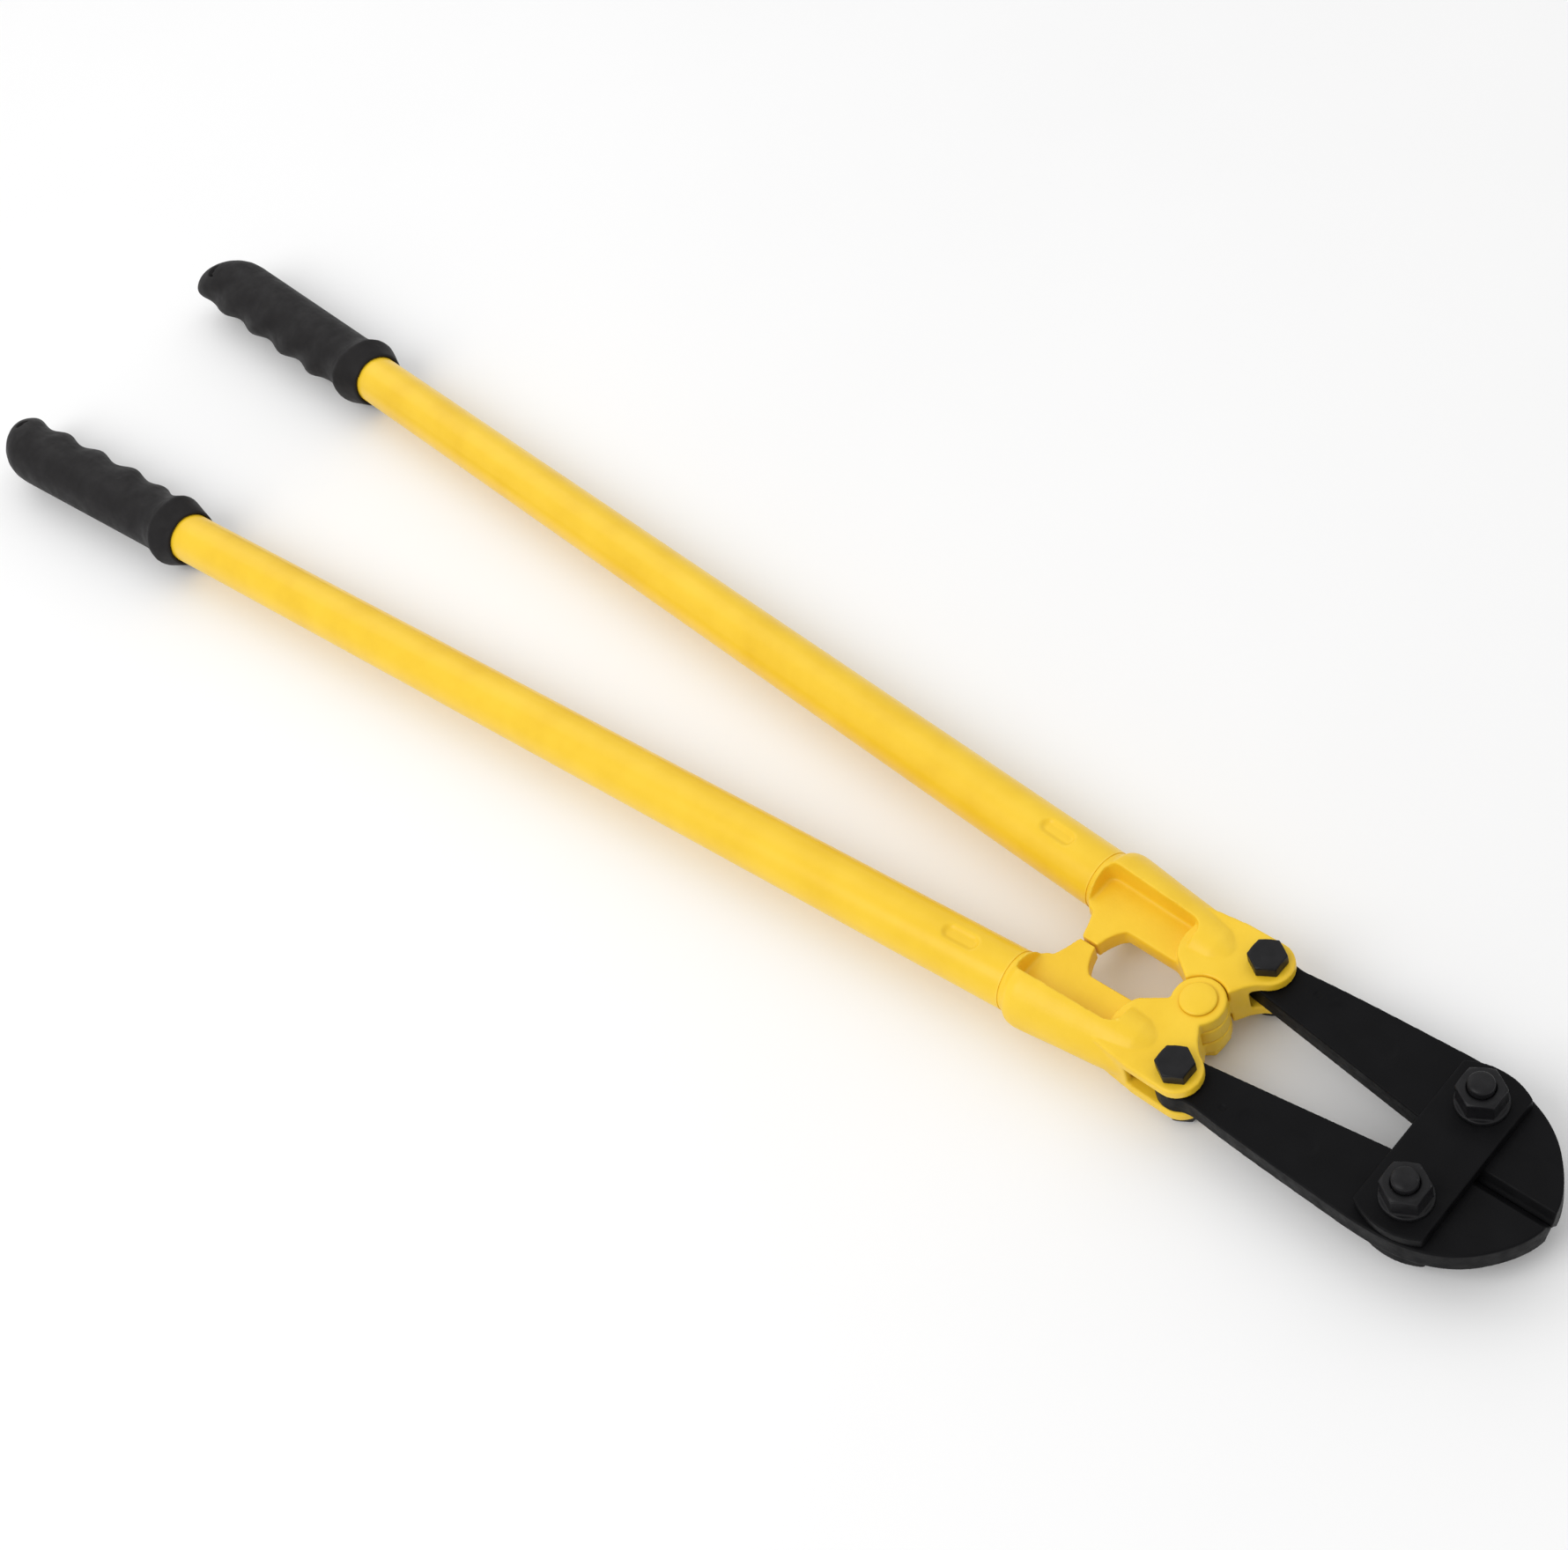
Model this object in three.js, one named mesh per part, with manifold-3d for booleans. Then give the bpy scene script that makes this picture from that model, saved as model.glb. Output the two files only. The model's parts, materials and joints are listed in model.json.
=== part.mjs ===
// Heavy-duty bolt cutters, 30 inch class, lying flat with the jaws closed.
// Units are millimetres. +X points to the blade tips, +Y to the left handle, +Z up.
// Everything is first placed around the centre pivot, with z = 0 halfway through
// the thickness of the jaws. The last lines move the origin to the middle of the
// bounding box, at floor level.
import * as THREE from 'three';
import { mergeVertices } from 'three/addons/utils/BufferGeometryUtils.js';
import Module from 'manifold-3d';

const wasm = await Module();
wasm.setup();

// ---- Driving dimensions ----------------------------------------------------

const OVERALL_LENGTH = 762;
const TIP_X = 121.6;              // blade tips ahead of the centre pivot
const FACE_GAP = 0.1;             // between faces that bear on each other
const RUNNING_GAP = 0.3;          // between layers that turn past each other
const HOLE_CLEARANCE = 0.15;      // radial, bolt in hole

// Handles: each is a tube whose axis leans outwards towards its grip.
const HANDLE_ANGLE = THREE.MathUtils.degToRad(4.1);
const TUBE_RADIUS = 10.65;
const TUBE_WALL = 2.3;
const TUBE_FRONT = new THREE.Vector2(-57, 23.5);
const TUBE_EXPOSED = 441;         // from the head's collar to the grip
const CRIMP_START = 13;           // crimped dimple, measured from the tube's front end
const CRIMP_LENGTH = 13;
const CRIMP_WIDTH = 4.6;
const CRIMP_DEPTH = 0.9;
const GRIP_END_INWARD = 8.0;      // how far the tip of the grip's end leans inwards
const GRIP_REACH = (OVERALL_LENGTH - TIP_X + TUBE_FRONT.x) / Math.cos(HANDLE_ANGLE);
const GRIP_LENGTH = GRIP_REACH - TUBE_EXPOSED - GRIP_END_INWARD * Math.tan(HANDLE_ANGLE);
const GRIP_END_WALL = 26;         // solid rubber behind the tube's back end
const SPIGOT_LENGTH = 40;

// Pivots of the left half. The right half is its mirror image.
const LINK_PIVOT = new THREE.Vector2(9.3, 23.05);   // head to jaw
const JAW_PIVOT = new THREE.Vector2(87.4, 18.6);    // jaw to side plates

// Heads: cast levers with a clevis for the jaw and a knuckle for the other head.
const EAR_HALF = 8.8;             // half thickness over the clevis and the knuckle
const CLEVIS_HALF = 4.45;         // half width of the clevis slot
const TONGUE_HALF = 3.1;          // half thickness of the left head's tongue
const HUB_RADIUS = 8.8;
const EAR_RADIUS = 8.3;
const SLOT_RADIUS = 10.2;         // clevis slot around the jaw's tail
const SLOT_BACK = 17.4;           // clevis slot's closed end, behind the link pivot
const WEB_HALF = 3.5;
const STOP_GAP = 1.0;             // between the two stop lugs when the jaws are shut

// Jaws and side plates
const JAW_HALF = 4.15;
const TAIL_RADIUS = 7.9;
const BLADE_START_X = 94;         // heel of the cutting edges
const BLADE_GAP = 0.3;            // between the two cutting edges
const BEVEL_WIDTH = 2.7;          // cutting bevel seen from above
const EDGE_LAND = 0.8;            // flat left at the cutting edge
const PLATE_THICKNESS = 4.3;
const PLATE_BACK_X = 75.4;
const PLATE_FRONT_X = 98.4;
const PLATE_HALF_LENGTH = 30.8;
const PLATE_CORNER_Y = 27.4;

// Fasteners: quarter inch at the link pivots, shoulder bolts with an M8 thread at the
// jaw pivots, and a thin nut on the centre pivot.
const QUARTER_INCH = { radius: 3.2, hex: 11, head: 4.5, nut: 5.6 };
const SHOULDER_BOLT = { radius: 5, hex: 16, head: 6.4 };
const M8 = { radius: 4, hex: 13, nut: 7.2 };
const WASHER = { radius: 8, thickness: 1.6 };
const THREAD_SHOWN = 2.2;         // M8 thread standing above its nut
const LOOP_CLEARANCE = 1.9;       // extra radius of the left jaw's tail hole
const DOME_RISE = 1.1;            // rounded end of the thread
const CAP_RADIUS = 6.0;           // low head of the centre pivot bolt
const CAP_RISE = 1.5;

const CENTRE_NUT = { radius: 5, hex: 14, nut: 4.2 };

const ROUND = 40;                 // segments round a cylinder

// ---- Materials -------------------------------------------------------------

const finish = (color, roughness, metalness) =>
  new THREE.MeshStandardMaterial({ color, roughness, metalness });
const yellowPaint = () => finish(0xf6cb2c, 0.38, 0.0);
const blackRubber = () => finish(0x2b292a, 0.72, 0.0);
const blackenedSteel = () => finish(0x232325, 0.5, 0.55);
const blackFastener = () => finish(0x28272b, 0.42, 0.6);

// ---- Solids ----------------------------------------------------------------

// A closed three.js geometry as a solid that can be joined and cut.
function solid(geometry) {
  const plain = geometry.clone();
  plain.deleteAttribute('normal');
  plain.deleteAttribute('uv');
  const merged = mergeVertices(plain, 1e-4);
  return new wasm.Manifold(new wasm.Mesh({
    numProp: 3,
    vertProperties: new Float32Array(merged.attributes.position.array),
    triVerts: new Uint32Array(merged.index.array),
  }));
}

// A solid as a three.js geometry again.
function geometryOf(manifold) {
  const { vertProperties, triVerts } = manifold.getMesh();
  const geometry = new THREE.BufferGeometry();
  geometry.setAttribute('position', new THREE.BufferAttribute(vertProperties, 3));
  geometry.setIndex(new THREE.BufferAttribute(triVerts, 1));
  geometry.computeVertexNormals();
  return geometry;
}

// The same geometry reflected through a plane, still facing outwards.
function reflected(geometry, scaleY, scaleZ) {
  const copy = mergeVertices(geometry.clone().deleteAttribute('normal').deleteAttribute('uv'), 1e-4);
  copy.applyMatrix4(new THREE.Matrix4().makeScale(1, scaleY, scaleZ));
  const index = copy.index.array;
  for (let i = 0; i < index.length; i += 3) {
    [index[i], index[i + 1]] = [index[i + 1], index[i]];
  }
  copy.computeVertexNormals();
  return copy;
}

const mirrored = (geometry) => reflected(geometry, -1, 1);
const upsideDown = (geometry) => reflected(geometry, 1, -1);
const forSide = (geometry, side) => (side > 0 ? geometry : mirrored(geometry));

const join = (...solids) => solids.reduce((sum, next) => sum.add(next));
const cut = (body, ...tools) => tools.reduce((rest, tool) => rest.subtract(tool), body);

// A flat outline given a thickness from z = low to z = high.
function slab(shape, low, high, curveSegments = 12) {
  const geometry = new THREE.ExtrudeGeometry(shape, {
    depth: high - low,
    bevelEnabled: false,
    curveSegments,
  });
  geometry.translate(0, 0, low);
  return solid(geometry);
}

// An upright cylinder at a pivot.
function post(pivot, radius, low, high, segments = ROUND) {
  const geometry = new THREE.CylinderGeometry(radius, radius, high - low, segments);
  geometry.rotateX(Math.PI / 2);
  geometry.translate(pivot.x, pivot.y, (low + high) / 2);
  return solid(geometry);
}

// A profile of [distance along +X, radius] points turned about the X axis.
function turned(points, segments = ROUND) {
  const outline = points.map(([along, radius]) => new THREE.Vector2(radius, along));
  const geometry = new THREE.LatheGeometry(outline, segments);
  geometry.rotateZ(-Math.PI / 2);
  return geometry;
}

// ---- Handles ---------------------------------------------------------------
// Built along X with the front end of the tube at 0 and the grip towards -X.

const gripFrontX = -TUBE_EXPOSED;
const gripEndX = gripFrontX - GRIP_LENGTH;
const tubeEndX = gripEndX + GRIP_END_WALL;

function tubeGeometry() {
  const inner = TUBE_RADIUS - TUBE_WALL;
  const wall = solid(turned([
    [tubeEndX, inner], [tubeEndX, TUBE_RADIUS], [0, TUBE_RADIUS], [0, inner], [tubeEndX, inner],
  ]));
  const dimple = new THREE.CapsuleGeometry(CRIMP_WIDTH / 2, CRIMP_LENGTH - CRIMP_WIDTH, 6, 16);
  dimple.rotateZ(Math.PI / 2);
  const depth = TUBE_RADIUS + CRIMP_WIDTH / 2 - CRIMP_DEPTH;
  dimple.translate(-CRIMP_START - CRIMP_LENGTH / 2, 0, depth);
  const opposite = dimple.clone();
  opposite.translate(0, 0, -2 * depth);
  return geometryOf(cut(wall, solid(dimple), solid(opposite)));
}

// Grip profile: a flared collar in front, a neck, a body that swells slightly
// towards the back, and an end that rounds off towards the inner side.
const GRIP_COLLAR_RADIUS = 15.6;
const GRIP_LIP_RADIUS = 12.0;
const GRIP_NECK_RADIUS = 12.7;
const GRIP_BODY_RADIUS = 13.1;
const GRIP_BORE_RADIUS = TUBE_RADIUS + 0.2;
const COLLAR_CREST = 10;          // behind the front edge, on the outer side
const COLLAR_LEAN = 4;            // how much further back it lies on the inner side
const NECK_START = 22;
const END_ROUNDING = 28;
const END_TILT = 0.2;             // the end's top is cut back and its bottom is full

// Finger rests: hollows on the inner side with slanted ridges between them.
const FIRST_RIDGE = 35.5;
const RIDGE_PITCH = 26;
const RIDGE_SLANT = 1.2;          // ridges lie further forward towards the top
const REST_SWELL = 0.9;
const RIDGE_RISE = 2.4;

// How far into the rounded end a distance behind the front edge lies, 0 to 1.
const intoEnd = (behind) =>
  THREE.MathUtils.clamp((behind - GRIP_LENGTH + END_ROUNDING) / END_ROUNDING, 0, 1);

// Radius of the grip's plain outside, a distance behind its front edge.
function gripRadius(behind) {
  const mix = THREE.MathUtils.lerp;
  if (behind < COLLAR_CREST) return mix(GRIP_LIP_RADIUS, GRIP_COLLAR_RADIUS, behind / COLLAR_CREST);
  if (behind < NECK_START) {
    const t = (behind - COLLAR_CREST) / (NECK_START - COLLAR_CREST);
    return mix(GRIP_COLLAR_RADIUS, GRIP_NECK_RADIUS, Math.sin(t * Math.PI / 2));
  }
  const body = mix(GRIP_NECK_RADIUS, GRIP_BODY_RADIUS, (behind - NECK_START) / (GRIP_LENGTH - NECK_START));
  return body * Math.sqrt(1 - intoEnd(behind) ** 2.4);
}

// How far the inner side stands out, at a height above the grip's axis.
function fingerSwell(behind, height) {
  const phase = (behind + RIDGE_SLANT * height - FIRST_RIDGE) / RIDGE_PITCH;
  const ridge = 0.5 + 0.5 * Math.cos(2 * Math.PI * phase);
  const start = THREE.MathUtils.smoothstep(behind, NECK_START + 4, FIRST_RIDGE + 5);
  return (REST_SWELL + RIDGE_RISE * ridge) * start * Math.sqrt(1 - intoEnd(behind) ** 2);
}

function gripGeometry() {
  const straightEnd = GRIP_LENGTH - END_ROUNDING;
  const stations = [0, COLLAR_CREST / 2, COLLAR_CREST];
  for (let behind = COLLAR_CREST + 3; behind < straightEnd - 1; behind += 3.2) stations.push(behind);
  for (let step = 0; step < 8; step += 1) {
    stations.push(straightEnd + END_ROUNDING * Math.sin(step * Math.PI / 16));
  }
  const outside = stations.map((behind) => [gripFrontX - behind, gripRadius(behind)]);
  const boreEnd = tubeEndX - RUNNING_GAP;
  const profile = [
    [gripEndX, 0],
    ...outside.reverse(),
    [gripFrontX, GRIP_BORE_RADIUS],
    [boreEnd, GRIP_BORE_RADIUS],
    [boreEnd, 0],
  ];
  const geometry = turned(profile, 28);
  const position = geometry.attributes.position;
  for (let i = 0; i < position.count; i += 1) {
    const [x, y, z] = [position.getX(i), position.getY(i), position.getZ(i)];
    const radius = Math.hypot(y, z);
    const isBore = radius < GRIP_BORE_RADIUS + 0.05 && x > boreEnd - 0.05;
    if (isBore) continue;
    const behind = gripFrontX - x;
    const inward = Math.max(0, -y / (radius || 1));
    const swell = fingerSwell(behind, z) * inward ** 1.5;
    const collar = Math.sin(Math.PI * THREE.MathUtils.clamp(behind / (2.6 * COLLAR_CREST), 0, 1));
    const tilt = END_TILT * z * Math.sqrt(intoEnd(behind));
    position.setX(i, x - COLLAR_LEAN * collar * inward ** 1.5 + tilt);
    position.setY(i, y * (1 + swell / (radius || 1)) - GRIP_END_INWARD * intoEnd(behind) ** 2);
    position.setZ(i, z * (1 + swell * 0.35 / (radius || 1)));
  }
  return geometryOf(solid(geometry));
}

// ---- Heads -----------------------------------------------------------------

const COLLAR_SEAM = 0.3;          // between the tube's front end and the head

// Puts a solid built along the handle's axis into the tool's frame, left side.
function alongHandle(geometry) {
  const placed = geometry.clone();
  placed.rotateZ(-HANDLE_ANGLE);
  placed.translate(TUBE_FRONT.x, TUBE_FRONT.y, 0);
  return solid(placed);
}

// The round bar down the outside of a head, from the spigot to the clevis.
function spine() {
  const spigot = TUBE_RADIUS - TUBE_WALL - 0.25;
  return alongHandle(turned([
    [-SPIGOT_LENGTH, 0], [-SPIGOT_LENGTH, spigot - 1], [-SPIGOT_LENGTH + 1, spigot],
    [COLLAR_SEAM, spigot], [COLLAR_SEAM, TUBE_RADIUS - 0.3], [2.2, TUBE_RADIUS],
    [5, 13.0], [7.5, 13.5], [12, 13.3], [24, 12.5], [38, 11.8], [50, 10.8],
    [55, 9.2], [57.5, 5.8], [58.4, 0],
  ]));
}

// The flat mass that joins the spine, the clevis ears and the knuckle.
function knuckleShape() {
  const shape = new THREE.Shape();
  shape.moveTo(-18, 29.6);
  shape.lineTo(-4, 31.2);
  shape.lineTo(LINK_PIVOT.x, LINK_PIVOT.y + EAR_RADIUS);
  shape.lineTo(13.4, 16);
  shape.quadraticCurveTo(9.2, 13.2, 7.4, 9.6);
  shape.lineTo(5.4, 6.6);
  shape.lineTo(-4, 0.9);
  shape.lineTo(-8.4, 4.4);
  shape.lineTo(-15.6, 9.4);
  shape.quadraticCurveTo(-19.6, 14, -18, 22);
  shape.closePath();
  return shape;
}

// The thin web and the stop lug that meets the other head's.
function webShape() {
  const shape = new THREE.Shape();
  shape.moveTo(-55, 22);
  shape.lineTo(-54, 12.4);
  shape.bezierCurveTo(-50.6, 11.2, -49.4, 6.4, -47.7, STOP_GAP / 2);
  shape.lineTo(-41.3, STOP_GAP / 2);
  shape.bezierCurveTo(-39.8, 8, -35.6, 12.1, -29.5, 12);
  shape.bezierCurveTo(-25, 11.8, -20, 10.6, -14, 8.2);
  shape.lineTo(-12, 24);
  shape.closePath();
  return shape;
}

// The hollow in each face of a head: it leaves the web and the bar's outer half.
function pocketShape() {
  const shape = new THREE.Shape();
  shape.moveTo(-54.2, -2);
  shape.lineTo(-54.2, 20.4);
  shape.quadraticCurveTo(-54.2, 24.4, -50, 24.3);
  shape.lineTo(-20, 22.8);
  shape.quadraticCurveTo(-15, 22.6, -15, 18);
  shape.lineTo(-15, -2);
  shape.closePath();
  return shape;
}

// The clevis slot: it clears the jaw's tail and is open to the front and outside.
function clevisShape() {
  const { x, y } = LINK_PIVOT;
  const shape = new THREE.Shape();
  shape.moveTo(x - SLOT_BACK + 2.5, y + 20);
  shape.lineTo(x - SLOT_BACK + 2.5, y + 5);
  shape.absarc(x - SLOT_BACK + 3.4, y + 2.5, 3.4, Math.PI * 0.6, Math.PI * 1.5, false);
  shape.absarc(x, y, SLOT_RADIUS, Math.PI * 1.12, Math.PI * 1.62, false);
  shape.lineTo(x + 30, y - 9.6);
  shape.lineTo(x + 30, y + 20);
  shape.closePath();
  return shape;
}

const centre = new THREE.Vector2(0, 0);

// The left head carries a tongue, and the right head the fork that holds it.
function headGeometry(side) {
  const isFork = side < 0;
  const reach = EAR_HALF + 6;
  const bar = cut(
    spine(),
    slab(pocketShape(), WEB_HALF, reach),
    slab(pocketShape(), -reach, -WEB_HALF),
  );
  const body = join(
    bar,
    slab(knuckleShape(), -EAR_HALF, EAR_HALF),
    post(LINK_PIVOT, EAR_RADIUS, -EAR_HALF, EAR_HALF),
    slab(webShape(), -WEB_HALF, WEB_HALF),
  );
  const turning = HUB_RADIUS + 0.4;
  const hub = isFork
    ? join(
      cut(body, post(centre, turning, -TONGUE_HALF - RUNNING_GAP, TONGUE_HALF + RUNNING_GAP)),
      post(centre, HUB_RADIUS, -EAR_HALF, -TONGUE_HALF - RUNNING_GAP),
      post(centre, HUB_RADIUS, TONGUE_HALF + RUNNING_GAP, EAR_HALF),
    )
    : join(
      cut(body, post(centre, turning, TONGUE_HALF, reach), post(centre, turning, -reach, -TONGUE_HALF)),
      post(centre, HUB_RADIUS, -TONGUE_HALF, TONGUE_HALF),
    );
  const head = cut(
    hub,
    slab(clevisShape(), -CLEVIS_HALF, CLEVIS_HALF),
    post(LINK_PIVOT, QUARTER_INCH.radius + HOLE_CLEARANCE, -reach, reach),
    post(centre, CENTRE_NUT.radius + HOLE_CLEARANCE, -reach, reach),
  );
  return forSide(geometryOf(head), side);
}

// ---- Jaws and side plates --------------------------------------------------

function jawShape() {
  const { x, y } = LINK_PIVOT;
  const shape = new THREE.Shape();
  shape.moveTo(x, y - TAIL_RADIUS);
  shape.lineTo(72, 6.7);
  shape.bezierCurveTo(80, 5.7, 90, 4.6, BLADE_START_X, BLADE_GAP / 2);
  shape.lineTo(TIP_X, BLADE_GAP / 2);
  shape.bezierCurveTo(TIP_X + 0.1, 7, 117.4, 14.1, 112, 20);
  shape.bezierCurveTo(107, 25.4, 101, 28.3, 95, 30);
  shape.bezierCurveTo(86, 32.3, 76, 31.9, 69.8, 31.6);
  shape.bezierCurveTo(54, 30.9, 36, 30.3, 20, 28.8);
  shape.quadraticCurveTo(16, 28.5, 13.95, 29.44);
  shape.absarc(x, y, TAIL_RADIUS, Math.PI * 0.3, Math.PI * 1.5, false);
  return shape;
}

// The wedge that bevels a blade's upper face down to the cutting edge.
function bevelTool() {
  const section = new THREE.Shape();
  section.moveTo(-6, EDGE_LAND / 2);
  section.lineTo(BLADE_GAP / 2, EDGE_LAND / 2);
  section.lineTo(BLADE_GAP / 2 + BEVEL_WIDTH, JAW_HALF);
  section.lineTo(BLADE_GAP / 2 + BEVEL_WIDTH * 1.5, JAW_HALF + 4);
  section.lineTo(-6, JAW_HALF + 4);
  section.closePath();
  const length = TIP_X - BLADE_START_X + 12;
  const geometry = new THREE.ExtrudeGeometry(section, { depth: length, bevelEnabled: false });
  geometry.rotateX(Math.PI / 2);
  geometry.rotateZ(Math.PI / 2);
  geometry.translate(BLADE_START_X - 6, 0, 0);
  return geometry;
}

function jawGeometry(side) {
  const isLeft = side > 0;
  const tailHole = QUARTER_INCH.radius + HOLE_CLEARANCE + (isLeft ? LOOP_CLEARANCE : 0);
  const jaw = cut(
    slab(jawShape(), -JAW_HALF, JAW_HALF, 14),
    solid(bevelTool()),
    solid(upsideDown(bevelTool())),
    post(LINK_PIVOT, tailHole, -6, 6),
    post(JAW_PIVOT, SHOULDER_BOLT.radius + HOLE_CLEARANCE, -6, 6),
  );
  return forSide(geometryOf(jaw), side);
}

function plateShape() {
  const chord = (PLATE_FRONT_X - PLATE_BACK_X) / 2;
  const rise = PLATE_HALF_LENGTH - PLATE_CORNER_Y;
  const radius = (chord ** 2 + rise ** 2) / (2 * rise);
  const angle = Math.asin(chord / radius);
  const middle = (PLATE_FRONT_X + PLATE_BACK_X) / 2;
  const quarter = Math.PI / 2;
  const shape = new THREE.Shape();
  shape.moveTo(PLATE_BACK_X, -PLATE_CORNER_Y);
  shape.absarc(middle, radius - PLATE_HALF_LENGTH, radius, -quarter - angle, -quarter + angle, false);
  shape.lineTo(PLATE_FRONT_X, PLATE_CORNER_Y);
  shape.absarc(middle, PLATE_HALF_LENGTH - radius, radius, quarter - angle, quarter + angle, false);
  shape.closePath();
  return shape;
}

const plateInner = JAW_HALF + FACE_GAP;
const plateOuter = plateInner + PLATE_THICKNESS;

function plateGeometry(low, high) {
  const hole = SHOULDER_BOLT.radius + HOLE_CLEARANCE;
  const other = new THREE.Vector2(JAW_PIVOT.x, -JAW_PIVOT.y);
  return geometryOf(cut(
    slab(plateShape(), low, high),
    post(JAW_PIVOT, hole, low - 1, high + 1),
    post(other, hole, low - 1, high + 1),
  ));
}

// ---- Fasteners: built upright on the Z axis, at the tool's mid-plane --------

// A hexagonal prism whose corners are turned off at the given ends.
function hexPrism(size, low, high, chamferLow, chamferHigh) {
  const corner = size / Math.sqrt(3);
  const height = high - low;
  const prism = new THREE.CylinderGeometry(corner, corner, height, 6);
  prism.rotateX(Math.PI / 2);
  prism.translate(0, 0, (low + high) / 2);
  const face = size / 2 * 0.97;
  const slope = (corner - face) * 0.6;
  const turnedOff = new THREE.LatheGeometry([
    new THREE.Vector2(0, low),
    new THREE.Vector2(chamferLow ? face : corner + 1, low),
    new THREE.Vector2(corner + 1, low + (chamferLow ? slope * 1.4 : 0.01)),
    new THREE.Vector2(corner + 1, high - (chamferHigh ? slope * 1.4 : 0.01)),
    new THREE.Vector2(chamferHigh ? face : corner + 1, high),
    new THREE.Vector2(0, high),
  ], ROUND);
  turnedOff.rotateX(Math.PI / 2);
  return solid(prism).intersect(solid(turnedOff));
}

// A rounded stud from low up to the foot of its dome.
function stud(radius, low, high, rise) {
  const profile = [
    new THREE.Vector2(0, low),
    new THREE.Vector2(radius, low),
    new THREE.Vector2(radius, high),
  ];
  for (let step = 1; step <= 4; step += 1) {
    const angle = step * Math.PI / 8;
    const across = step < 4 ? radius * Math.cos(angle) : 0;
    profile.push(new THREE.Vector2(across, high + rise * Math.sin(angle)));
  }
  const geometry = new THREE.LatheGeometry(profile, ROUND);
  geometry.rotateX(Math.PI / 2);
  return solid(geometry);
}

// Bolt under the link pivot's head on top, nut below.
function linkBoltGeometry() {
  const seat = EAR_HALF + FACE_GAP;
  const end = seat + QUARTER_INCH.nut;
  return geometryOf(join(
    hexPrism(QUARTER_INCH.hex, seat, seat + QUARTER_INCH.head, false, true),
    post(centre, QUARTER_INCH.radius, -end + 0.4, seat + 0.5),
  ));
}

function nutGeometry(bolt, low, high, chamferLow, chamferHigh) {
  return geometryOf(cut(
    hexPrism(bolt.hex, low, high, chamferLow, chamferHigh),
    post(centre, bolt.radius + HOLE_CLEARANCE, low - 1, high + 1),
  ));
}

// Jaw bolt: head below, shoulder through the plates, thread standing above its nut.
function jawBoltGeometry() {
  const seat = plateOuter + FACE_GAP;
  const threadEnd = seat + WASHER.thickness + M8.nut + THREAD_SHOWN;
  return geometryOf(join(
    hexPrism(SHOULDER_BOLT.hex, -seat - SHOULDER_BOLT.head, -seat, true, false),
    post(centre, SHOULDER_BOLT.radius, -seat - 0.5, plateOuter),
    stud(M8.radius, plateOuter - 0.5, threadEnd, DOME_RISE),
  ));
}

// The nut of a jaw bolt with its washer.
function jawNutGeometry() {
  const seat = plateOuter + FACE_GAP;
  const washerTop = seat + WASHER.thickness;
  const nutTop = washerTop + M8.nut;
  return geometryOf(cut(
    join(
      post(centre, WASHER.radius, seat, washerTop),
      hexPrism(M8.hex, washerTop - 0.4, nutTop, false, true),
    ),
    post(centre, M8.radius + HOLE_CLEARANCE, seat - 1, nutTop + 1),
  ));
}

// Centre pivot bolt: low domed head on top.
function centreBoltGeometry() {
  const seat = EAR_HALF + FACE_GAP;
  return geometryOf(join(
    stud(CAP_RADIUS, seat, seat + 0.7, CAP_RISE - 0.7),
    post(centre, CENTRE_NUT.radius, 0.4 - seat - CENTRE_NUT.nut, seat + 0.4),
  ));
}

// ---- Assembly --------------------------------------------------------------

const tool = new THREE.Group();

function add(name, geometry, material, parent = tool) {
  const mesh = new THREE.Mesh(geometry, material);
  mesh.name = name;
  parent.add(mesh);
  return mesh;
}

const linkSeat = EAR_HALF + FACE_GAP;

for (const [sideName, side] of [['left', 1], ['right', -1]]) {
  const handle = new THREE.Group();
  handle.position.set(TUBE_FRONT.x, side * TUBE_FRONT.y, 0);
  handle.rotation.z = -side * HANDLE_ANGLE;
  tool.add(handle);
  add(`${sideName}_handle_tube`, tubeGeometry(), yellowPaint(), handle);
  add(`${sideName}_grip`, forSide(gripGeometry(), side), blackRubber(), handle);
  add(`${sideName}_head`, headGeometry(side), yellowPaint());
  add(`${sideName}_jaw`, jawGeometry(side), blackenedSteel());

  const link = [LINK_PIVOT.x, side * LINK_PIVOT.y, 0];
  add(`${sideName}_link_bolt`, linkBoltGeometry(), blackFastener()).position.set(...link);
  const linkNut = nutGeometry(QUARTER_INCH, -linkSeat - QUARTER_INCH.nut, -linkSeat, true, false);
  add(`${sideName}_link_nut`, linkNut, blackFastener()).position.set(...link);

  const pivot = [JAW_PIVOT.x, side * JAW_PIVOT.y, 0];
  add(`${sideName}_jaw_bolt`, jawBoltGeometry(), blackFastener()).position.set(...pivot);
  add(`${sideName}_jaw_nut`, jawNutGeometry(), blackFastener()).position.set(...pivot);
}

add('top_side_plate', plateGeometry(plateInner, plateOuter), blackenedSteel());
add('bottom_side_plate', plateGeometry(-plateOuter, -plateInner), blackenedSteel());
add('centre_pivot_bolt', centreBoltGeometry(), yellowPaint());
const centreNut = nutGeometry(CENTRE_NUT, -linkSeat - CENTRE_NUT.nut, -linkSeat, true, false);
add('centre_pivot_nut', centreNut, yellowPaint());

// Origin: middle of the bounding box, on the surface the tool lies on.
const bounds = new THREE.Box3().setFromObject(tool, true);
const middle = bounds.getCenter(new THREE.Vector3());
tool.position.set(-middle.x, -middle.y, -bounds.min.z);

const group = new THREE.Group();
group.add(tool);

export default group;
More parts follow.
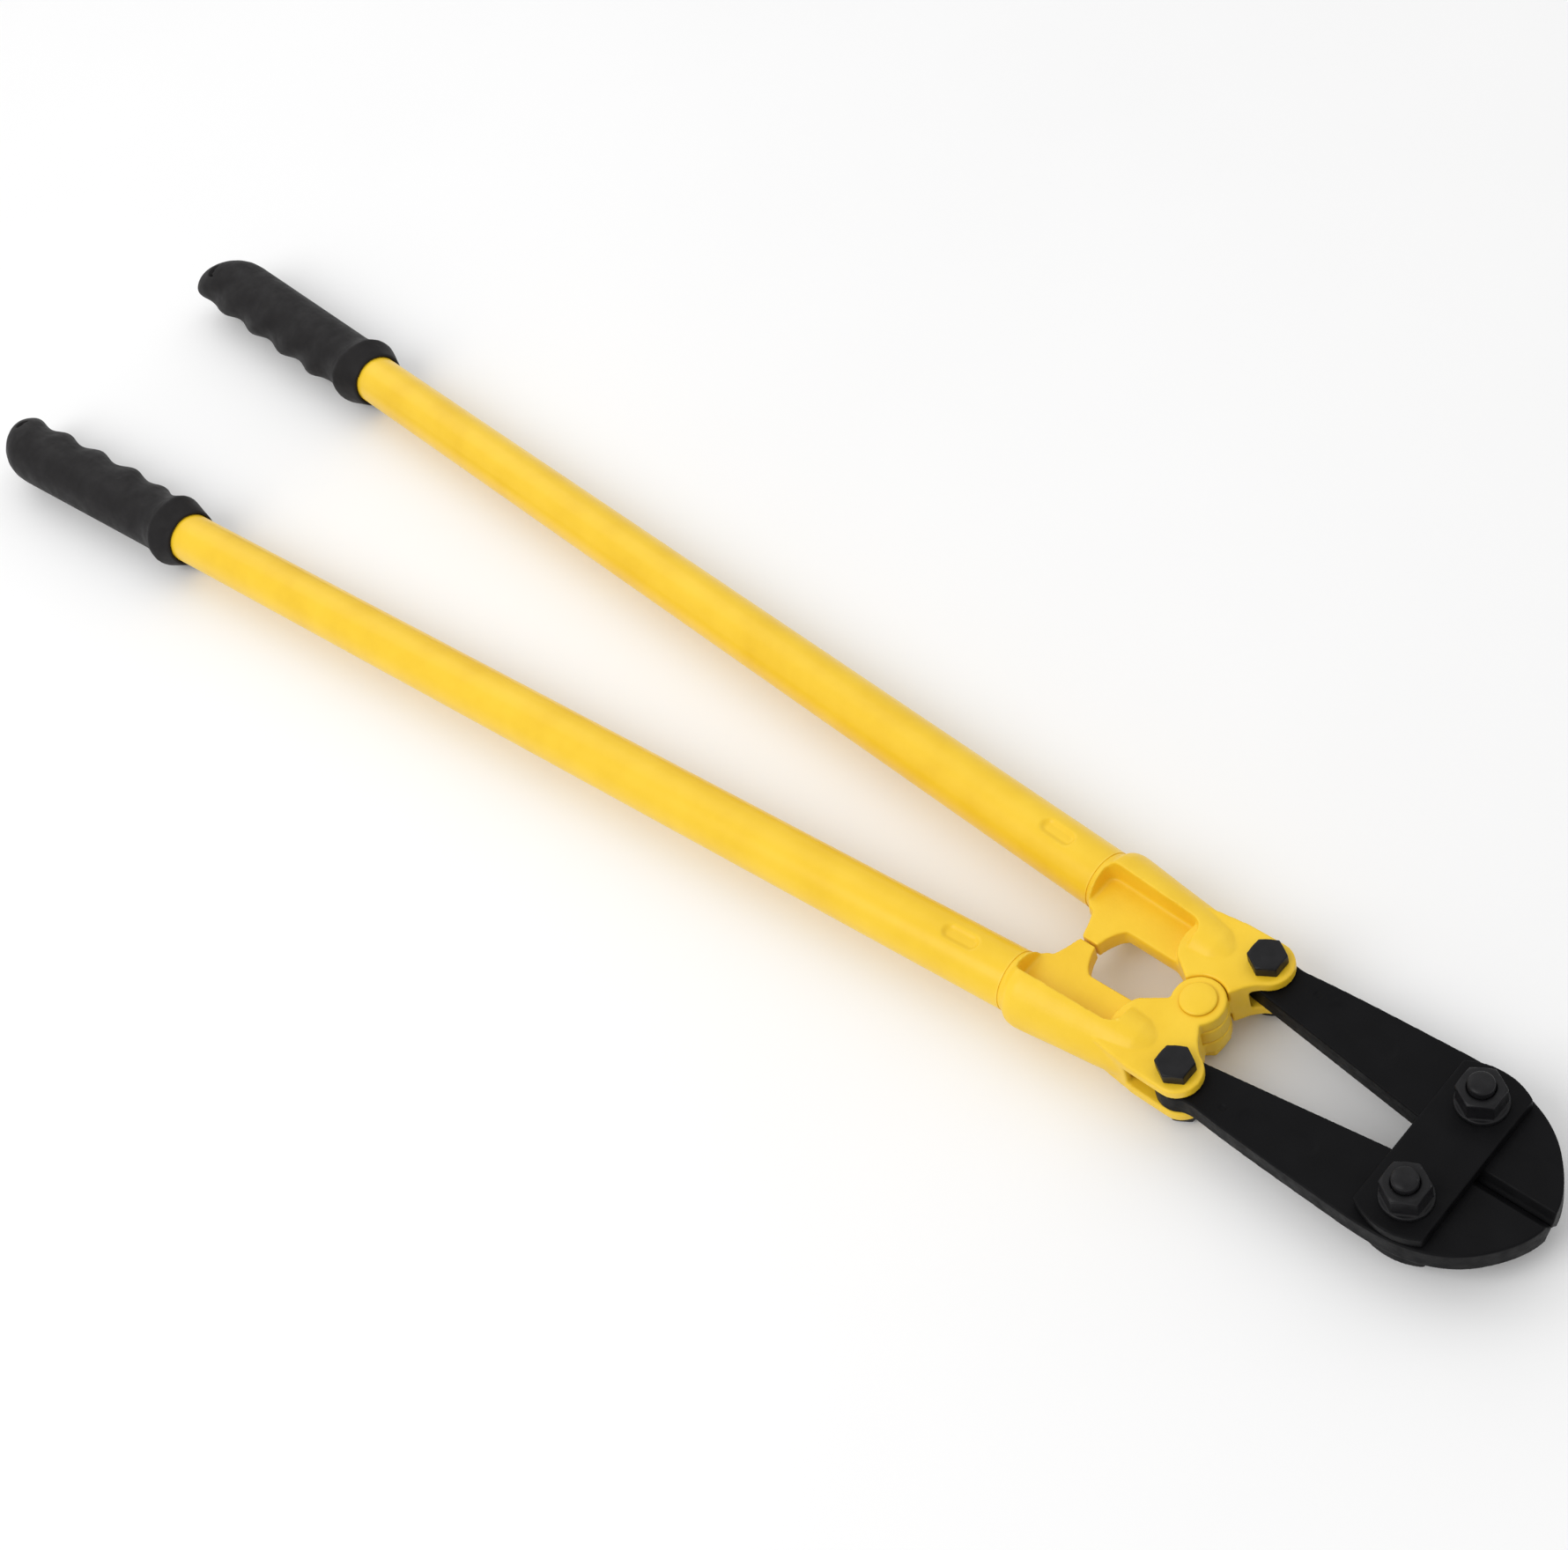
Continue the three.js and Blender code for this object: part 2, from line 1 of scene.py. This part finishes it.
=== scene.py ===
# Heavy-duty bolt cutters lying closed on a pale studio floor.
# Metres, in the frame's own axes: +X to the blade tips, +Y to the left handle, +Z up.
import json
import math

import bmesh
import bpy
from mathutils import Matrix, Quaternion, Vector


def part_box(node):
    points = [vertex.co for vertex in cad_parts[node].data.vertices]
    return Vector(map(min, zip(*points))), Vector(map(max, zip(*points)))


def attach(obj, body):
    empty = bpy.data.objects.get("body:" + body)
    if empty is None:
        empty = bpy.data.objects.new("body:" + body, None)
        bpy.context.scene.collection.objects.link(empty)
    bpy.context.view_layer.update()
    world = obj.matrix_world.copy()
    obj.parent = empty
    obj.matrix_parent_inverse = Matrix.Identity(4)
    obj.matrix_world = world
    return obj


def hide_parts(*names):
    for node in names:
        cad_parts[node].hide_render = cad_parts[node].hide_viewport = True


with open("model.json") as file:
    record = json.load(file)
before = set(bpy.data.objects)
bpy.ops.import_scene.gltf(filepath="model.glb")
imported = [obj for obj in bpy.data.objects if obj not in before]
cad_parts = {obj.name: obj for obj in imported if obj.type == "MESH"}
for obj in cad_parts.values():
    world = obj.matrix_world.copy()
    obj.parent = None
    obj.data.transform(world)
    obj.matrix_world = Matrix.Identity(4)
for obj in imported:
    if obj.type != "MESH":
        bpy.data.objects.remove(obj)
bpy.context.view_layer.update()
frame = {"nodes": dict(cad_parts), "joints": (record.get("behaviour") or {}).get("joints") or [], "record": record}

MM = 0.001
SIDES = {"left": 1, "right": -1}
NODES_OF = frame["record"]["behaviour"]["bodies"]
BODY_OF = {node: body for body, nodes in NODES_OF.items() for node in nodes}
JOINT_AT = {joint["name"]: Vector(joint["pos_m"]) for joint in frame["joints"]}

CENTRE = JOINT_AT["handle_pivot"]
MIDDLE_Z = CENTRE.z               # halfway through the thickness of the jaws


# ---- Materials ---------------------------------------------------------------

def new_material(name, specular):
    """A node material, and its Principled shader with the specular level set."""
    material = bpy.data.materials.new(name)
    material.use_nodes = True
    shader = material.node_tree.nodes["Principled BSDF"]
    shader.inputs["Specular IOR Level"].default_value = specular
    return material, shader


def noise(material, scale, detail=4.0, roughness=0.55, stretch=(1, 1, 1)):
    """A noise pattern's value over the object's own coordinates. scale is per metre."""
    nodes = material.node_tree.nodes
    links = material.node_tree.links
    place = nodes.new("ShaderNodeTexCoord")
    mapping = nodes.new("ShaderNodeMapping")
    mapping.inputs["Scale"].default_value = stretch
    pattern = nodes.new("ShaderNodeTexNoise")
    pattern.inputs["Scale"].default_value = scale
    pattern.inputs["Detail"].default_value = detail
    pattern.inputs["Roughness"].default_value = roughness
    links.new(place.outputs["Object"], mapping.inputs["Vector"])
    links.new(mapping.outputs["Vector"], pattern.inputs["Vector"])
    return pattern.outputs["Fac"]


def ramp(material, value, stops):
    """A colour ramp through (position, color) stops."""
    node = material.node_tree.nodes.new("ShaderNodeValToRGB")
    first, last = node.color_ramp.elements
    first.position, first.color = stops[0][0], (*stops[0][1], 1)
    last.position, last.color = stops[-1][0], (*stops[-1][1], 1)
    for position, color in stops[1:-1]:
        node.color_ramp.elements.new(position).color = (*color, 1)
    material.node_tree.links.new(value, node.inputs["Fac"])
    return node.outputs["Color"]


def spread(material, value, low, high, source=(0.3, 0.7)):
    """A value stretched from the source range to low..high."""
    node = material.node_tree.nodes.new("ShaderNodeMapRange")
    node.inputs["From Min"].default_value, node.inputs["From Max"].default_value = source
    node.inputs["To Min"].default_value = low
    node.inputs["To Max"].default_value = high
    material.node_tree.links.new(value, node.inputs["Value"])
    return node.outputs["Result"]


def mixed(material, amount, first, second):
    """Two colours mixed by an amount."""
    node = material.node_tree.nodes.new("ShaderNodeMix")
    node.data_type = "RGBA"
    links = material.node_tree.links
    links.new(amount, node.inputs["Factor"])
    links.new(first, node.inputs["A"])
    links.new(second, node.inputs["B"])
    return node.outputs["Result"]


def edges(material, low, high):
    """1 along worn convex edges and 0 elsewhere."""
    geometry = material.node_tree.nodes.new("ShaderNodeNewGeometry")
    return spread(material, geometry.outputs["Pointiness"], 0, 1, (low, high))


def bump(material, layers):
    """Stacks (height, distance in metres, strength) layers and gives the last normal."""
    normal = None
    links = material.node_tree.links
    for height, distance, strength in layers:
        node = material.node_tree.nodes.new("ShaderNodeBump")
        node.inputs["Distance"].default_value = distance
        node.inputs["Strength"].default_value = strength
        links.new(height, node.inputs["Height"])
        if normal is not None:
            links.new(normal, node.inputs["Normal"])
        normal = node.outputs["Normal"]
    return normal


def yellow_paint(name, roughness, grain_scale, grain_depth, wave_depth):
    """Gloss yellow enamel: slight mottling, and the grain and waves of what is under it."""
    material, shader = new_material(name, 0.3)
    links = material.node_tree.links
    mottle = ramp(material, noise(material, 45), [
        (0.3, (0.86, 0.540, 0.020)),
        (0.5, (0.90, 0.580, 0.026)),
        (0.7, (0.93, 0.610, 0.034)),
    ])
    pale_edge = ramp(material, noise(material, 260), [
        (0.4, (0.93, 0.62, 0.05)),
        (0.7, (0.95, 0.67, 0.08)),
    ])
    links.new(mixed(material, edges(material, 0.53, 0.62), mottle, pale_edge), shader.inputs["Base Color"])
    links.new(spread(material, noise(material, 130), *roughness), shader.inputs["Roughness"])
    links.new(bump(material, [
        (noise(material, grain_scale), grain_depth, 0.5),
        (noise(material, 90), wave_depth, 0.3),
    ]), shader.inputs["Normal"])
    shader.inputs["Coat Weight"].default_value = 0.08
    shader.inputs["Coat Roughness"].default_value = 0.2
    return material


def moulded_rubber():
    """Satin black rubber with a fine moulded grain and handling marks."""
    material, shader = new_material("grip_rubber", 0.16)
    links = material.node_tree.links
    links.new(ramp(material, noise(material, 70), [
        (0.3, (0.0115, 0.0105, 0.0110)),
        (0.55, (0.0130, 0.0120, 0.0125)),
        (0.75, (0.0155, 0.0143, 0.0150)),
    ]), shader.inputs["Base Color"])
    links.new(spread(material, noise(material, 160), 0.5, 0.7), shader.inputs["Roughness"])
    links.new(bump(material, [
        (noise(material, 2600, 2.0), 0.12 * MM, 0.55),
        (noise(material, 220), 0.2 * MM, 0.25),
    ]), shader.inputs["Normal"])
    return material


def forged_steel():
    """Black oxide on forged steel: mottled scale, pits, and edges rubbed paler."""
    material, shader = new_material("jaw_steel", 0.09)
    links = material.node_tree.links
    scale = ramp(material, noise(material, 120, 6), [
        (0.3, (0.0028, 0.0028, 0.0032)),
        (0.55, (0.0038, 0.0038, 0.0044)),
        (0.8, (0.0056, 0.0056, 0.0062)),
    ])
    rubbed = ramp(material, noise(material, 700), [
        (0.35, (0.011, 0.011, 0.012)),
        (0.7, (0.024, 0.024, 0.025)),
    ])
    links.new(mixed(material, edges(material, 0.54, 0.66), scale, rubbed), shader.inputs["Base Color"])
    links.new(spread(material, noise(material, 240, 6), 0.4, 0.62), shader.inputs["Roughness"])
    links.new(bump(material, [
        (noise(material, 900, 6), 0.12 * MM, 0.5),
        (noise(material, 150), 0.2 * MM, 0.3),
    ]), shader.inputs["Normal"])
    return material


def oxide_fastener():
    """Black oxide on machined fasteners: finer, with turning lines and rubbed corners."""
    material, shader = new_material("fastener_steel", 0.2)
    links = material.node_tree.links
    oxide = ramp(material, noise(material, 300, 5), [
        (0.3, (0.0060, 0.0060, 0.0068)),
        (0.7, (0.0105, 0.0102, 0.0115)),
    ])
    rubbed = ramp(material, noise(material, 900), [
        (0.35, (0.016, 0.016, 0.017)),
        (0.7, (0.038, 0.038, 0.040)),
    ])
    links.new(mixed(material, edges(material, 0.54, 0.64), oxide, rubbed), shader.inputs["Base Color"])
    links.new(spread(material, noise(material, 420, 5), 0.3, 0.5), shader.inputs["Roughness"])
    links.new(bump(material, [
        (noise(material, 700, 3, stretch=(1, 1, 6)), 0.06 * MM, 0.4),
    ]), shader.inputs["Normal"])
    return material


FINISHES = {
    "tube_paint": yellow_paint("tube_paint", (0.30, 0.38), 1400, 0.02 * MM, 0.015 * MM),
    "casting_paint": yellow_paint("casting_paint", (0.34, 0.50), 1100, 0.18 * MM, 0.12 * MM),
    "grip_rubber": moulded_rubber(),
    "jaw_steel": forged_steel(),
    "fastener_steel": oxide_fastener(),
}
SLOT_OF = {part["node"]: part["material_slot"] for part in frame["record"]["subparts"]}


# ---- Pieces ------------------------------------------------------------------

def settle(piece, node):
    """Gives a finished piece its finish and its body, and puts it in the node's place."""
    slot_name = SLOT_OF[node]
    piece.data.materials.clear()
    piece.data.materials.append(FINISHES[slot_name])
    piece.data.shade_smooth()
    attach(piece, BODY_OF[node])
    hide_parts(node)
    return piece


def applied(piece):
    """The piece with its modifiers worked into its mesh."""
    bpy.context.view_layer.update()
    depsgraph = bpy.context.evaluated_depsgraph_get()
    result = bpy.data.meshes.new_from_object(piece.evaluated_get(depsgraph))
    piece.modifiers.clear()
    piece.data = result
    return piece


def softened(node, voxel, passes):
    """A copy of a CAD node remade in small even faces, with its edges rounded over."""
    piece = bpy.data.objects.new(f"{node}_finished", frame["nodes"][node].data.copy())
    bpy.context.scene.collection.objects.link(piece)
    remesh = piece.modifiers.new("remesh", "REMESH")
    remesh.mode = "VOXEL"
    remesh.voxel_size = voxel
    smooth = piece.modifiers.new("smooth", "SMOOTH")
    smooth.factor = 0.5
    smooth.iterations = passes
    return applied(piece)


def smoothstep(value):
    """0 up to a value of 0, 1 from a value of 1, and an even curve between."""
    t = max(0.0, min(1.0, value))
    return t * t * (3 - 2 * t)


JAW_FACE = 4.15 * MM              # from the jaws' mid-plane
FACE_BAND = 0.5 * MM              # vertices this close to a face belong to it


def press(jaw, start, end, half_width, depth, edge):
    """Sinks a shallow round-ended panel into the top and bottom faces of a jaw."""
    run = end - start
    for vertex in jaw.data.vertices:
        height = vertex.co.z - MIDDLE_Z
        if abs(abs(height) - JAW_FACE) > FACE_BAND:
            continue
        flat = vertex.co.xy
        along = max(0.0, min(1.0, (flat - start).dot(run) / run.length_squared))
        distance = (flat - start - run * along).length
        sunk = depth * smoothstep((half_width - distance) / edge)
        vertex.co.z -= math.copysign(sunk, height)


BLADE_START = 95 * MM             # ahead of the centre pivot
BLADE_FADE = 3 * MM               # over which the drawing out begins
BLADE_DRAW = 0.3 * MM
BLADE_CLEAR = 0.05 * MM           # from the cutting edge to the plane it closes on
BLADE_REACH = 1.4 * MM            # vertices further from that plane stay put
BLADE_SLOPE = 1 * MM


def draw_edge(jaw, side):
    """Brings a blade's softened cutting edge back out to where it meets the other."""
    for vertex in jaw.data.vertices:
        reach = abs(vertex.co.y)
        ahead = vertex.co.x - CENTRE.x - BLADE_START
        near = smoothstep((BLADE_REACH - reach) / BLADE_SLOPE) * smoothstep(ahead / BLADE_FADE)
        vertex.co.y = side * max(min(reach, BLADE_CLEAR), reach - BLADE_DRAW * near)


# Jaws: a forged panel and a punch mark in each face of the arm. Positions are ahead
# of the centre pivot and sideways from the tool's middle.
PANEL_START = (35, 22.6)
PANEL_END = (54, 19.8)
PANEL = {"half_width": 4 * MM, "depth": 0.3 * MM, "edge": 2.2 * MM}
PUNCH_START = (26.5, 24)
PUNCH_END = (26.7, 24)
PUNCH = {"half_width": 1.5 * MM, "depth": 0.4 * MM, "edge": 0.9 * MM}


def on_jaw(place, side):
    """A place given in millimetres for the left jaw, on the jaw of a side."""
    ahead, sideways = place
    return CENTRE.xy + Vector((ahead, side * sideways)) * MM


for side_name, side in SIDES.items():
    jaw = softened(f"{side_name}_jaw", 0.32 * MM, 7)
    press(jaw, on_jaw(PANEL_START, side), on_jaw(PANEL_END, side), **PANEL)
    press(jaw, on_jaw(PUNCH_START, side), on_jaw(PUNCH_END, side), **PUNCH)
    draw_edge(jaw, side)
    settle(jaw, f"{side_name}_jaw")

# Castings are rounded most, machined parts least: node, size of its faces, passes.
for node, voxel, passes in [
    ("left_head", 0.5 * MM, 7),
    ("right_head", 0.5 * MM, 7),
    ("top_side_plate", 0.4 * MM, 3),
    ("bottom_side_plate", 0.4 * MM, 3),
    ("centre_pivot_bolt", 0.3 * MM, 3),
    ("centre_pivot_nut", 0.3 * MM, 3),
]:
    settle(softened(node, voxel, passes), node)

for side_name in SIDES:
    for part in ("link_bolt", "link_nut", "jaw_bolt", "jaw_nut"):
        node = f"{side_name}_{part}"
        settle(softened(node, 0.27 * MM, 3), node)


# Handles: positions along one are measured behind its tube's front end, sideways
# from its axis (negative towards the other handle) and up.
TUBE_FRONT = Vector((-57, 23.5)) * MM   # from the centre pivot, on the left side
HANDLE_ANGLE = math.radians(4.1)


def handle_frame(side):
    """The matrix from a handle's own axes to the tool's."""
    front = CENTRE + Vector((TUBE_FRONT.x, side * TUBE_FRONT.y, 0))
    turn = Matrix.Rotation(-side * HANDLE_ANGLE, 4, "Z")
    return Matrix.Translation(front) @ turn @ Matrix.Diagonal((1, side, 1, 1))


# Grips: the finger hollows are scooped a little deeper than the CAD solid's, and there
# is a small moulding hole in the top of the end.
TUBE_EXPOSED = 441 * MM
FIRST_RIDGE = 35.5 * MM
RIDGE_PITCH = 26 * MM
RIDGE_SLANT = 1.2
SCOOP_DEPTH = 0.4 * MM
SCOOP_FADE_FRONT = 8 * MM
SCOOP_FADE_END = 24 * MM
SCOOP_SPREAD = 1.6                # how far round the grip a scoop runs, as a gain
BORE_CLEAR = 11.6 * MM            # surface beyond this radius is the grip's outside
HOLE_RADIUS = 3.4 * MM
HOLE_DEPTH = 5.0 * MM
HOLE_SLOPE = 0.9 * MM
HOLE_FROM_END = 14.5 * MM
HOLE_SIDEWAYS = -7 * MM
HOLE_ABOVE = 14 * MM              # the point over the hole, clear of the rubber


def scooped(spot, length):
    """How deep the hollow between two finger ridges is at a spot on the grip."""
    behind = -spot.x - TUBE_EXPOSED
    radius = math.hypot(spot.y, spot.z) or 1.0
    inward = max(0.0, -spot.y / radius)
    phase = (behind + RIDGE_SLANT * spot.z - FIRST_RIDGE) / RIDGE_PITCH
    between = math.sin(math.pi * phase) ** 2
    past_front = (behind - FIRST_RIDGE) / SCOOP_FADE_FRONT + 0.5
    before_end = (length - behind) / SCOOP_FADE_END
    along = smoothstep(past_front) * smoothstep(before_end)
    return SCOOP_DEPTH * between * smoothstep(inward * SCOOP_SPREAD) * along


def grip_piece(node, side):
    """A grip with its finger hollows scooped and the hole sunk in its end."""
    piece = softened(node, 0.7 * MM, 8)
    to_tool = handle_frame(side)
    to_handle = to_tool.inverted()
    spots = [to_handle @ vertex.co for vertex in piece.data.vertices]
    length = -TUBE_EXPOSED - min(spot.x for spot in spots)
    above_hole = Vector((-TUBE_EXPOSED - length + HOLE_FROM_END, HOLE_SIDEWAYS, HOLE_ABOVE))
    mouth = min(spots, key=lambda spot: (spot - above_hole).length)
    inwards = Vector((0.3, 0, -1)).normalized()
    for vertex, spot in zip(piece.data.vertices, spots):
        if math.hypot(spot.y, spot.z) > BORE_CLEAR:
            outward = Vector((0, spot.y, spot.z)).normalized()
            spot -= outward * scooped(spot, length)
        in_hole = smoothstep((HOLE_RADIUS - (spot - mouth).length) / HOLE_SLOPE)
        spot += inwards * HOLE_DEPTH * in_hole
        vertex.co = to_tool @ spot
    return piece


for side_name, side in SIDES.items():
    node = f"{side_name}_grip"
    settle(grip_piece(node, side), node)


# Tubes: drawn round, with a crimped dimple above and below near the front.
TUBE_RADIUS = 10.65 * MM
TUBE_WALL = 2.3 * MM
TUBE_SEGMENTS = 128
SEAM_COVER = 0.9 * MM             # the tube's front end runs this far into the collar
FINE_RINGS = 79                   # spaced closely over the dimple
FINE_SPACING = 0.4 * MM
COARSE_SPACING = 8 * MM
CRIMP_MIDDLE = 19.5 * MM
CRIMP_HALF_LENGTH = 4.2 * MM
CRIMP_HALF_WIDTH = 3.4 * MM
CRIMP_DEPTH = 1.3 * MM
CRIMP_SLOPE = 2.0 * MM


def crimp(behind, lateral):
    """Depth of the dimple at a distance behind the front end and off its centre line."""
    past_end = max(0.0, abs(behind - CRIMP_MIDDLE) - CRIMP_HALF_LENGTH)
    distance = math.hypot(past_end, lateral)
    return CRIMP_DEPTH * smoothstep((CRIMP_HALF_WIDTH - distance) / CRIMP_SLOPE)


def tube_stations(length):
    """Distances behind the front end of the rings on a tube's outside."""
    fine = [FINE_SPACING * step for step in range(FINE_RINGS + 1)]
    coarse_start = FINE_SPACING * (FINE_RINGS + 1)
    room = length - coarse_start - COARSE_SPACING / 4   # keeps the last one off the end
    coarse = [coarse_start + COARSE_SPACING * step for step in range(int(room / COARSE_SPACING))]
    return [-SEAM_COVER] + fine + coarse + [length]


def tube_piece(node, side, length):
    """A tube wall made of rings: back along the outside, then forward along the bore."""
    angles = [2 * math.pi * step / TUBE_SEGMENTS for step in range(TUBE_SEGMENTS)]
    mesh = bmesh.new()
    rings = []
    for behind in tube_stations(length):
        ring = []
        for angle in angles:
            radius = TUBE_RADIUS - crimp(behind, TUBE_RADIUS * math.cos(angle))
            ring.append(mesh.verts.new((-behind, radius * math.cos(angle), radius * math.sin(angle))))
        rings.append(ring)
    inner = TUBE_RADIUS - TUBE_WALL
    for behind in (length, -SEAM_COVER):
        ring = []
        for angle in angles:
            ring.append(mesh.verts.new((-behind, inner * math.cos(angle), inner * math.sin(angle))))
        rings.append(ring)
    for ring, after in zip(rings, rings[1:] + rings[:1]):
        for step in range(TUBE_SEGMENTS):
            following = (step + 1) % TUBE_SEGMENTS
            mesh.faces.new((ring[step], ring[following], after[following], after[step]))
    bmesh.ops.transform(mesh, matrix=handle_frame(side), verts=mesh.verts)
    bmesh.ops.recalc_face_normals(mesh, faces=mesh.faces)
    data = bpy.data.meshes.new(f"{node}_finished")
    mesh.to_mesh(data)
    mesh.free()
    piece = bpy.data.objects.new(f"{node}_finished", data)
    bpy.context.scene.collection.objects.link(piece)
    return piece


EDGE_ANGLE = math.radians(40)     # sharper turns than this stay sharp

for side_name, side in SIDES.items():
    node = f"{side_name}_handle_tube"
    low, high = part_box(node)
    reach = high.x - low.x
    tube_length = (reach - 2 * TUBE_RADIUS * math.sin(HANDLE_ANGLE)) / math.cos(HANDLE_ANGLE)
    tube = settle(tube_piece(node, side, tube_length), node)
    tube.data.set_sharp_from_angle(angle=EDGE_ANGLE)


# ---- Stage -------------------------------------------------------------------

def floor():
    """A pale floor, 12 m square."""
    bpy.ops.mesh.primitive_plane_add(size=12, location=(0, 0, 0))
    plane = bpy.context.object
    plane.name = "studio_floor"
    material, shader = new_material("studio_floor", 0.1)
    tint = ramp(material, noise(material, 3), [
        (0.3, (0.92, 0.92, 0.92)),
        (0.7, (0.94, 0.94, 0.94)),
    ])
    material.node_tree.links.new(tint, shader.inputs["Base Color"])
    plane.data.materials.append(material)


def soft_light(name, location, target, size, power):
    """A round area light aimed at a point. Sizes in metres, power in watts."""
    light = bpy.data.lights.new(name, "AREA")
    light.shape = "DISK"
    light.size = size
    light.energy = power
    lamp = bpy.data.objects.new(name, light)
    lamp.location = location
    lamp.rotation_euler = (Vector(target) - Vector(location)).to_track_quat("-Z", "Y").to_euler()
    bpy.context.scene.collection.objects.link(lamp)


floor()
soft_light("key", (-0.1, -1.1, 1.3), (0, 0, 0), 1.2, 10.5)
soft_light("fill", (0.2, 1.0, 1.4), (0, 0, 0), 1.6, 3)
soft_light("back", (-1.2, 0.3, 1.2), (0, 0, 0), 1.4, 4)

world = bpy.data.worlds.new("studio")
world.use_nodes = True
world.node_tree.nodes["Background"].inputs["Color"].default_value = (1, 1, 1, 1)
world.node_tree.nodes["Background"].inputs["Strength"].default_value = 0.68
bpy.context.scene.world = world
bpy.context.scene.view_settings.view_transform = "Standard"


# ---- Camera ------------------------------------------------------------------

EYE = Vector((0.5372, -0.2552, 0.6214))
TARGET = Vector((0.0783, -0.0048, 0.0157))
ROLL = math.radians(-22.66)

camera_data = bpy.data.cameras.new("camera")
camera_data.lens = 51.59
camera_data.sensor_width = 36
camera_data.clip_start = 0.01
camera = bpy.data.objects.new("camera", camera_data)
camera.location = EYE
camera.rotation_mode = "QUATERNION"
camera.rotation_quaternion = (TARGET - EYE).to_track_quat("-Z", "Y") @ Quaternion((0, 0, 1), ROLL)
bpy.context.scene.collection.objects.link(camera)
bpy.context.scene.camera = camera
